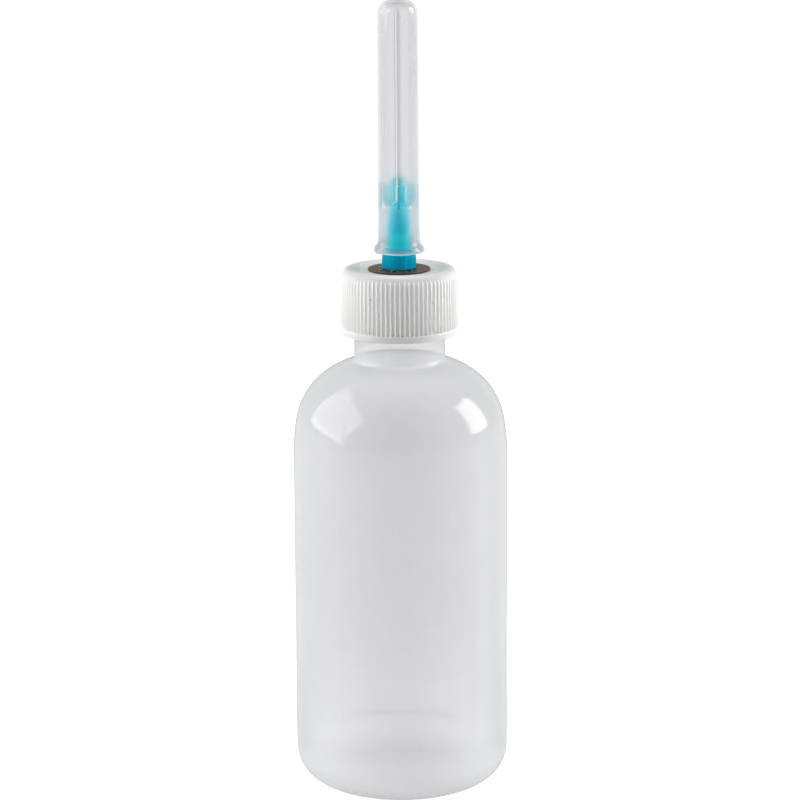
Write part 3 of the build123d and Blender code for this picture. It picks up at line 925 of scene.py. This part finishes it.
def cap_plastic():
    tree = new_material("cap_polypropylene")
    point = tree.position()
    x, y, z = point.split()
    grain = point.noise(scale=3.2, detail=5.0, rough=0.6)
    flow = point.noise(scale=0.28)
    specks = cap_specks(tree, x, y, z, grain)
    radius = tree.radius(x, y)
    flank = abs(x) / radius.at_least(1.0)        # 0 at front and back, 1 at either side
    # masks of the cap's parts
    groove = radius.rise(10.50, 10.36) * radius.rise(10.15, 10.25)
    crown = radius.rise(10.50, 10.62) * z.rise(85.6, 85.9)
    dish = radius.rise(5.4, 6.6) * radius.fall(8.9, 9.9) * z.rise(95.2, 95.5)
    # painted shadow on the seat under the washer, which shows through its gaps
    seat_shadow = radius.rise(4.4, 4.2) * z.rise(95.3, 95.5)
    lip = radius.rise(10.48, 10.24) * z.rise(94.6, 95.0)
    colour = tree.mix(flow.spread(), (0.830, 0.832, 0.830), (0.852, 0.850, 0.844))
    colour = tree.layers(colour, [
        # painted light: the rib crowns are painted darker and the grooves lighter, evening out
        # the ribs' light and shade
        (crown * 0.40, (0.755, 0.755, 0.748)),
        (groove * 0.72, (0.935, 0.935, 0.925)),
        # painted shade on the dish and the top edge, strongest to either side
        (dish * flank.remap((0.35, 0.95), (0.10, 0.95)), CAP_SHADE),
        # painted shadow under the washer
        (seat_shadow * 0.93, (0.05, 0.042, 0.036)),
        (lip * flank.remap((0.10, 0.7), (0.08, 0.80)), CAP_SHADE),
        # the band at the foot, painted darker as painted shade
        (z.remap((85.5, 85.2), (0.0, 0.7)), (0.68, 0.68, 0.672)),
        (specks * 0.75, (0.20, 0.19, 0.18))])
    # the top is rougher than the sides
    normal = tree.bump(grain * 1.0 + flow * 1.2, strength=z.remap((94.6, 95.2), (0.09, 0.26)),
                       distance=0.00010)
    return tree.finish(tree.field(
        "BsdfPrincipled", Base_Color=colour, Roughness=grain.spread(0.42, 0.54), IOR=1.49,
        Normal=normal, Subsurface_Weight=0.55, Subsurface_Radius=(0.0008, 0.0008, 0.0007),
        Subsurface_Scale=1.0))


def liner_foam():
    tree = new_material("liner_foam")
    point = tree.position()
    cells = tree.field("TexVoronoi", output="Distance", Scale=5.5, Vector=point)
    mottle = point.noise(scale=1.2)
    normal = tree.bump(cells + mottle * 0.5, strength=0.5, distance=0.00008)
    return tree.finish(tree.field(
        "BsdfPrincipled", Base_Color=tree.mix(mottle, (0.80, 0.80, 0.78), (0.87, 0.87, 0.86)),
        Roughness=cells.remap((0.0, 0.8), (0.75, 0.55)), Normal=normal,
        Subsurface_Weight=0.2, Subsurface_Radius=(0.001, 0.001, 0.001)))


def stem_plating():
    tree = new_material("nickel_plate")
    point = tree.position()
    # fine turning marks round the axis, and a few handling marks
    lathe = point.noise(scale=1.0, detail=4.0, rough=0.6, stretch=(0.4, 0.4, 16.0))
    mottle = point.noise(scale=1.6, detail=4.0, rough=0.6)
    colour = tree.mix(mottle.rise(0.35, 0.75), (0.66, 0.63, 0.58), (0.56, 0.52, 0.45))
    return tree.finish(tree.field(
        "BsdfPrincipled", Base_Color=colour, Metallic=1.0, Roughness=mottle.spread(0.16, 0.30),
        Normal=tree.bump(lathe + mottle * 0.3, strength=0.35, distance=0.00002)))


def washer_steel():
    tree = new_material("bronzed_spring_steel")
    point = tree.position()
    x, y, z = point.split()
    radius = tree.radius(x, y)
    # streaks in the strip's rolling direction, mottling, pits
    roll = point.noise(scale=1.0, detail=5.0, rough=0.65, stretch=(0.35, 9.0, 1.0))
    mottle = point.noise(scale=0.9, detail=5.0, rough=0.6)
    pits = point.noise(scale=6.0, rough=0.6)
    rim = radius.rise(5.35, 5.62)
    side = z.rise(SEAT_Z + 0.25, SEAT_Z + 0.19)
    # painted shade beside each gap, and a painted glint on the corners of the teeth
    off_gap = abs(tree.off_nearest(x, y, GAP_PHASE, TAU / TEETH))
    gap_shade = off_gap.rise(0.290, 0.225) * (radius.rise(4.45, 4.10) * radius.rise(2.9, 3.1))
    painted_glint = off_gap.rise(0.182, 0.166) * (radius.rise(4.02, 3.92) * radius.rise(3.10, 3.18))
    colour = tree.mix(mottle.spread(), (0.060, 0.044, 0.030), (0.094, 0.071, 0.050))
    colour = tree.layers(colour, [
        (roll.remap((0.35, 0.7), (0.0, 0.4)), (0.135, 0.108, 0.078)),
        (rim * 0.45, (0.21, 0.165, 0.11)),
        (gap_shade * 0.95, (0.010, 0.008, 0.006)),
        (painted_glint, (0.80, 0.78, 0.74)),
        # painted shade: the plate's side is painted near black
        (side, (0.016, 0.010, 0.005))])
    return tree.finish(tree.field(
        "BsdfPrincipled", Base_Color=colour, Metallic=painted_glint.remap((0.0, 1.0), (0.42, 0.9)),
        Roughness=roll.spread(0.45, 0.62), Specular_IOR_Level=0.26,
        Specular_Tint=(0.95, 0.86, 0.74),
        Normal=tree.bump(roll * 0.7 + pits * 0.3, strength=0.45, distance=0.00003)))


# =====================================================================
# Needle materials
# =====================================================================
HUB_PALE, HUB_BRIGHT = (0.0, 0.88, 1.0), (0.0, 0.95, 1.0)
HUB_MID = (0.0, 0.66, 0.82)             # over the middle of the taper
# painted shade at the collar
HUB_COLLAR_SHADE = (0.0, 0.44, 0.66)             # at the collar
HUB_BODY = (0.06, 0.92)                 # share of milky body, upper and lower
HUB_DYE, HUB_DENSITY = (0.0, 0.86, 0.91), 260.0


def hub_colour(tree, z, flow, streak, low, facing):
    """The dye's colour, with painted shade at the collar, darkest towards its silhouette."""
    # painted shade at the collar, darker towards the silhouette
    collar_shade = tree.mix(streak.rise(0.35, 0.65), scaled(HUB_COLLAR_SHADE, 0.80), scaled(HUB_COLLAR_SHADE, 1.12))
    collar_shade = tree.mix(facing.remap((0.95, 0.55), (0.0, 0.60)), collar_shade, (0.0, 0.26, 0.45))
    colour = tree.mix(flow.spread(), HUB_PALE, HUB_BRIGHT)
    return tree.layers(colour, [(z.rise(102.0, 103.5) * z.rise(108.5, 107.0), HUB_MID),
                                (low, collar_shade)])


def hub_fin_masks(tree, x, y, z):
    """1 on the fins, and 1 on the fin edges that catch the light."""
    off_fin = tree.off_nearest(x, y, FIN_PHASE, math.pi / 2)
    radius = tree.radius(x, y)
    across = abs(radius * tree.math("SINE", off_fin))
    half_width = z.remap(FIN_TAPER_Z, FIN_HALF_WIDTHS)
    side_edge = abs(across - (half_width - 0.05)).fall(0.05, 0.17)
    top_edge = abs(z - 111.22).fall(0.04, 0.16)
    on_fin = radius.rise(2.15, 2.45) * z.rise(106.9, 107.3)
    return on_fin, side_edge.at_least(top_edge) * on_fin


def hub_plastic():
    """Clear plastic dyed through: its depth of colour comes from the thickness, and the collar is
    darkened by painted shade.
    """
    tree = new_material("hub_dyed_plastic")
    point = tree.position()
    x, y, z = point.split()
    flow = point.noise(scale=0.5, stretch=(1, 1, 0.3))
    fine = point.noise(scale=5.0, rough=0.6)
    streak = point.noise(scale=2.6, rough=0.6, stretch=(1, 1, 0.08))
    normal = tree.bump(flow + fine * 0.25, strength=0.3, distance=0.00005)
    facing = tree.facing()
    low = z.rise(99.8, 98.8)
    on_fin, caught = hub_fin_masks(tree, x, y, z)
    colour = tree.layers(hub_colour(tree, z, flow, streak, low, facing), [
        (on_fin * 0.6, (0.0, 0.55, 0.70)),
        (caught, (0.85, 1.0, 1.0)),
        # paler to the silhouette, above the collar
        (facing.rise(0.80, 0.40) * z.remap((99.6, 100.6), (0.0, 0.8)), (0.42, 0.80, 0.88))])
    body = tree.milky(colour, normal, z.remap((101.8, 103.2), (0.12, 0.62)))

    through = tree.mix(z.rise(110.5, 104.0), (0.95, 0.988, 0.996), (0.42, 0.91, 0.955))
    through = tree.mix(facing.remap((0.88, 0.45), (0.0, 0.95)), through, (0.93, 0.985, 0.993))
    # share of body over clear: least at the silhouette, more on the fins
    edge_share = z.remap((100.0, 99.4), (0.12, 1.0))
    share = z.remap((108.0, 101.5), HUB_BODY) * facing.remap((0.50, 0.92), (edge_share, 1.0))
    share = share.at_least(on_fin * 0.55).at_least(caught * 0.95)
    base = tree.blend(share, tree.clear(through), body)

    low_gloss = streak.remap((0.56, 0.66), (0.08, 0.60))
    shade = tree.coat(base, normal, fine.spread(0.08, 0.16), ior=1.49,
                      scale=low.remap((0.0, 1.0), (0.40, low_gloss)), limit=0.22)
    dye = tree.field("VolumeAbsorption", Color=HUB_DYE, Density=HUB_DENSITY)
    tree.put(tree.output, "Volume", dye)
    return tree.finish(tree.let_light_through(shade, (0.55, 0.93, 0.96)))


def cannula_steel():
    tree = new_material("drawn_needle_steel")
    point = tree.position()
    draw = point.noise(scale=3.0, detail=4.0, rough=0.6, stretch=(6.0, 6.0, 0.10))
    mottle = point.noise(scale=1.4)
    return tree.finish(tree.field(
        "BsdfPrincipled", Metallic=1.0, Roughness=draw.spread(0.16, 0.30),
        Base_Color=tree.mix(mottle, (0.80, 0.805, 0.815), (0.86, 0.865, 0.87)),
        Normal=tree.bump(draw, strength=0.35, distance=0.000012)))


def bond_adhesive():
    tree = new_material("clear_adhesive")
    mottle = tree.position().noise(scale=2.5)
    normal = tree.bump(mottle, strength=0.3, distance=0.00005)
    body = tree.milky(tree.mix(mottle, (0.85, 0.86, 0.82), (0.90, 0.90, 0.86)), normal)
    base = tree.blend(0.55, body, tree.clear((0.95, 0.96, 0.92)))
    return tree.finish(tree.coat(base, normal, mottle.spread(0.05, 0.14), ior=1.5))


# =====================================================================
# Sheath materials: a polished outside, and a matt inside that blurs what stands away from it
# =====================================================================
SHEATH_OUT, SHEATH_IN = 0.09, 0.58      # roughness of the two faces
SHEATH_TINT = (0.948, 0.948, 0.959)
SHEATH_HAZE = (0.80, 0.805, 0.818)
# painted light on the raised line and the lip
SHEATH_PAINTED_LIGHT = (0.94, 0.98, 0.99)      # raised line and lip
SHEATH_PASSES = (0.96, 0.96, 0.965)
SHEATH_IOR = 1.45


def sheath_grain(tree, point):
    """Fine and cloudy noise, tint and normal, shared by both faces."""
    drag = point.noise(scale=1.3, detail=4.0, rough=0.55, stretch=(1.0, 1.0, 0.06))
    fine = point.noise(scale=4.0, detail=4.0, rough=0.6)
    cloud = point.noise(scale=0.22, detail=2.0)
    normal = tree.bump(drag * 0.8 + fine * 0.12, strength=0.22, distance=0.00006)
    return fine, cloud, tree.mix(cloud, SHEATH_TINT, scaled(SHEATH_TINT, 1.01)), normal


def sheath_outside():
    tree = new_material("sheath_polypropylene_outside")
    point = tree.position()
    x, y, z = point.split()
    fine, cloud, tint, normal = sheath_grain(tree, point)
    rough = fine.spread(SHEATH_OUT - 0.02, SHEATH_OUT + 0.03) + cloud.spread(0.0, 0.03)
    rough = rough + z.rise(100.1, 99.4) * 0.10               # duller at the collar

    # the raised line: painted light on its right flank, painted shade on its left
    away = (tree.angle(x, y) - KEY_ANGLE) * 3.7
    span = z.rise(108.0, 109.0) * z.fall(142.4, 142.9)
    light = abs(away - 0.05).fall(0.09, 0.19) * span
    shade = abs(away + 0.20).fall(0.05, 0.18) * span
    # a short painted bright line to its right, near the closed end
    stub = abs(away - 0.85).fall(0.06, 0.15) * (z.rise(140.6, 142.0) * z.fall(142.4, 142.9))
    light = light.at_least(stub)
    lip = z.rise(99.30, 99.12)

    # cloudiness: to the silhouette, at the collar, on the line, on the lip
    facing = tree.facing()
    least = z.remap((111.0, 115.0), (0.05, 0.14)) - z.remap((106.6, 102.8), (0.0, 0.043))
    cloudy = facing.remap((0.90, 0.30), (least, 1.0)) * 0.88
    cloudy = cloudy.at_least(z.remap((99.85, 99.30), (0.0, 0.42)))
    cloudy = cloudy.at_least(light * 0.92)
    cloudy = cloudy.at_least(lip * facing.remap((0.90, 0.60), (0.72, 0.90)))
    # the haze is painted brighter on the raised line and the lip: painted light
    haze = tree.milky(tree.mix(light.at_least(lip * 0.8), SHEATH_HAZE, SHEATH_PAINTED_LIGHT), normal,
                      lip.remap((0.0, 1.0), (0.5, 0.85)))
    bend = tree.field("BsdfRefraction", Color=tree.mix(shade * 0.8, tint, (0.84, 0.84, 0.86)),
                      IOR=SHEATH_IOR, Roughness=rough, Normal=normal)
    coated = tree.coat(tree.blend(cloudy, bend, haze), normal, rough, ior=SHEATH_IOR, limit=0.5)
    return tree.finish(tree.let_light_through(coated, SHEATH_PASSES))


def sheath_inside():
    tree = new_material("sheath_polypropylene_inside")
    point = tree.position()
    x, y, z = point.split()
    fine, _, tint, normal = sheath_grain(tree, point)
    # rubbed clear where the hub's fins press
    across = abs(tree.off_nearest(x, y, FIN_PHASE, math.pi / 2)) * 3.0
    rub = (across - z.remap(FIN_TAPER_Z, FIN_HALF_WIDTHS)).fall(0.10, 0.28)
    rub = rub * (z.rise(106.9, 107.4) * z.fall(111.4, 111.7))
    rough = fine.spread(SHEATH_IN - 0.03, SHEATH_IN + 0.03) - rub * (SHEATH_IN - 0.16)
    bend = tree.field("BsdfRefraction", Color=tint, IOR=SHEATH_IOR, Roughness=rough,
                      Normal=normal)
    return tree.finish(tree.let_light_through(bend, SHEATH_PASSES))


# =====================================================================
# Build, and tie each piece to its body
# =====================================================================
# builder, body, frame piece, slot, materials
PIECES = [
    (build_bottle, "bottle", "bottle", "bottle_plastic", [bottle_outside(), bottle_inside()]),
    (build_cap, "cap", "screw_cap", "cap_plastic", [cap_plastic()]),
    (build_liner, "liner", "cap_liner", "liner_foam", [liner_foam()]),
    (build_stem, "cap", "luer_stem", "plated_brass", [stem_plating()]),
    (build_washer, "cap", "star_washer", "spring_steel", [washer_steel()]),
    (build_hub, "needle", "needle_hub", "hub_plastic", [hub_plastic()]),
    (build_cannula, "needle", "needle_cannula", "cannula_steel", [cannula_steel()]),
    (build_bond, "needle", "needle_bond", "epoxy", [bond_adhesive()]),
    (build_sheath, "sheath", "needle_sheath", "sheath_plastic",
     [sheath_outside(), sheath_inside()]),
]
for build, body, node, slot, materials in PIECES:
    piece = build()
    for material in materials:
        piece.data.materials.append(material)
    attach(piece, body)
    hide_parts(node)


# =====================================================================
# Studio, in metres
# =====================================================================
FLOOR_GREY = 0.22                       # the paper as the object sees it
FLOOR_GREY_SEEN = 0.45                  # and as the camera sees it
FLOOR_GLOW = (0.16, 0.74)               # its glow on the object, near the camera and behind
FLOOR_GLOW_SEEN = 0.80
FILL_LEVEL = 1.25
WORLD_DIM, WORLD_WALLS, WORLD_BRIGHT = 0.058, 0.54, 0.92   # behind camera, sides, behind object
CEILING = 1.0                           # strength overhead against that of the walls


def make_floor():
    """Paper that burns out to white when seen, and lights the object at its own level."""
    half = 3.0
    mesh = bpy.data.meshes.new("floor")
    mesh.from_pydata([(-half, -half, 0), (half, -half, 0), (half, half, 0), (-half, half, 0)],
                     [], [(0, 1, 2, 3)])
    floor = add_object("floor", mesh)
    floor.location.z = -0.00004
    tree = new_material("floor_paper")
    seen = tree.field("LightPath", output="Is Camera Ray")
    paper = tree.field("BsdfDiffuse",
                       Color=tree.mix(seen, (FLOOR_GREY,) * 3, (FLOOR_GREY_SEEN,) * 3))
    y = tree.position().split()[1]
    glow = y.remap((-550.0, 60.0), FLOOR_GLOW) * (1.0 - seen) + seen * FLOOR_GLOW_SEEN
    light = tree.field("Emission", Color=(1, 1, 1), Strength=glow)
    mesh.materials.append(tree.finish(tree.field("AddShader", paper, light)))


def softbox(name, corners, strength, fade, stripe=0.0):
    """A light panel from four (azimuth, elevation) corners in degrees and its distance.

    Azimuth 0 is towards the camera, positive to the right. fade is the soft share of each
    edge; stripe is the extra level of a band near the lower edge.
    """
    points = []
    for azimuth, elevation, distance in corners:
        a, e = math.radians(azimuth), math.radians(elevation)
        points.append((distance * math.sin(a) * math.cos(e),
                       -distance * math.cos(a) * math.cos(e), 0.07 + distance * math.sin(e)))
    mesh = bpy.data.meshes.new(name)
    mesh.from_pydata(points, [], [(0, 1, 2, 3)])
    layer = mesh.uv_layers.new(name="UV")
    for i, place in enumerate(((0, 0), (1, 0), (1, 1), (0, 1))):
        layer.data[i].uv = place
    panel = add_object(name, mesh)

    tree = new_material(name + "_light")
    across, up, _ = tree.field("TexCoord", output="UV").split()
    across_level, up_level = (place.rise(0.0, fade) * place.fall(1.0 - fade, 1.0)
                              for place in (across, up))
    level = across_level * up_level
    if stripe:
        level = level + up.rise(0.04, 0.08) * up.fall(0.16, 0.20) * stripe
    light = tree.field("Emission", Color=(1, 1, 1), Strength=level * strength)
    mesh.materials.append(tree.finish(light))
    panel.visible_camera = False
    panel.visible_transmission = False
    panel.visible_shadow = False
    return panel


def make_lights():
    softbox("softbox_right", [(81, 1, 1.0), (111, 1, 1.0), (111, 39, 1.0), (81, 39, 1.0)],
            strength=6.5, fade=0.02)
    softbox("softbox_left", [(-118, 2, 1.0), (-63, -2, 1.0), (-44, 32, 1.0), (-124, 51, 1.0)],
            strength=3.1, fade=0.03, stripe=0.25)
    # broad side fill that shows in no reflection
    for side, sign, share in (("left", -1, 1.0), ("right", 1, 1.75)):
        near, far = sign * 55, sign * 100
        fill = softbox("fill_" + side,
                       [(near, -2, 1.1), (far, -2, 1.1), (far, 50, 1.1), (near, 50, 1.1)],
                       strength=FILL_LEVEL * share, fade=0.12)
        fill.visible_glossy = False


def make_world():
    """White to the camera; to the object, a room that brightens from front to back."""
    world = bpy.data.worlds.new("studio")
    bpy.context.scene.world = world
    tree = Tree(world, "ShaderNodeOutputWorld")
    _, y, z = tree.field("TexCoord", output="Generated").split()
    colour = y.rise(-1.0, 1.0).ramp([
        (0.0, (WORLD_DIM, WORLD_DIM, WORLD_DIM * 1.01)),
        (0.16, (WORLD_DIM * 1.6,) * 3),
        (0.5, (WORLD_WALLS, WORLD_WALLS, WORLD_WALLS * 1.01)),
        (1.0, (WORLD_BRIGHT,) * 3)])
    strength = z.remap((0.35, 0.95), (1.0, CEILING)) * 1.0
    room = tree.field("Background", Color=colour, Strength=strength)
    white = tree.field("Background", Color=(1, 1, 1), Strength=1.0)
    seen = tree.field("LightPath", output="Is Camera Ray")
    tree.finish(tree.blend(seen, room, white))


def make_camera():
    data = bpy.data.cameras.new("camera")
    data.lens = 125.5
    data.sensor_width = 36.0
    data.clip_start = 0.02
    data.clip_end = 20.0
    camera = add_object("camera", data)
    camera.location = (0.0, -0.4933, 0.1885)
    target = Vector((0, 0, 0.07152))
    look = (target - camera.location).to_track_quat("-Z", "Y")
    roll = Matrix.Rotation(math.radians(-0.38), 3, "Z").to_quaternion()
    camera.rotation_mode = "QUATERNION"
    camera.rotation_quaternion = look @ roll
    bpy.context.scene.camera = camera


VIEW = {"view_transform": "Standard", "look": "None", "exposure": 0.0, "gamma": 1.0}
CYCLES = {
    "max_bounces": 20, "diffuse_bounces": 8, "glossy_bounces": 6, "transmission_bounces": 16,
    "transparent_max_bounces": 24, "caustics_reflective": False, "caustics_refractive": True,
    "blur_glossy": 0.3, "sample_clamp_indirect": 6.0, "use_denoising": True}

make_floor()
make_lights()
make_world()
make_camera()
scene = bpy.context.scene
for group, settings in ((scene.view_settings, VIEW), (scene.cycles, CYCLES)):
    for name, value in settings.items():
        setattr(group, name, value)

bpy.context.view_layer.update()
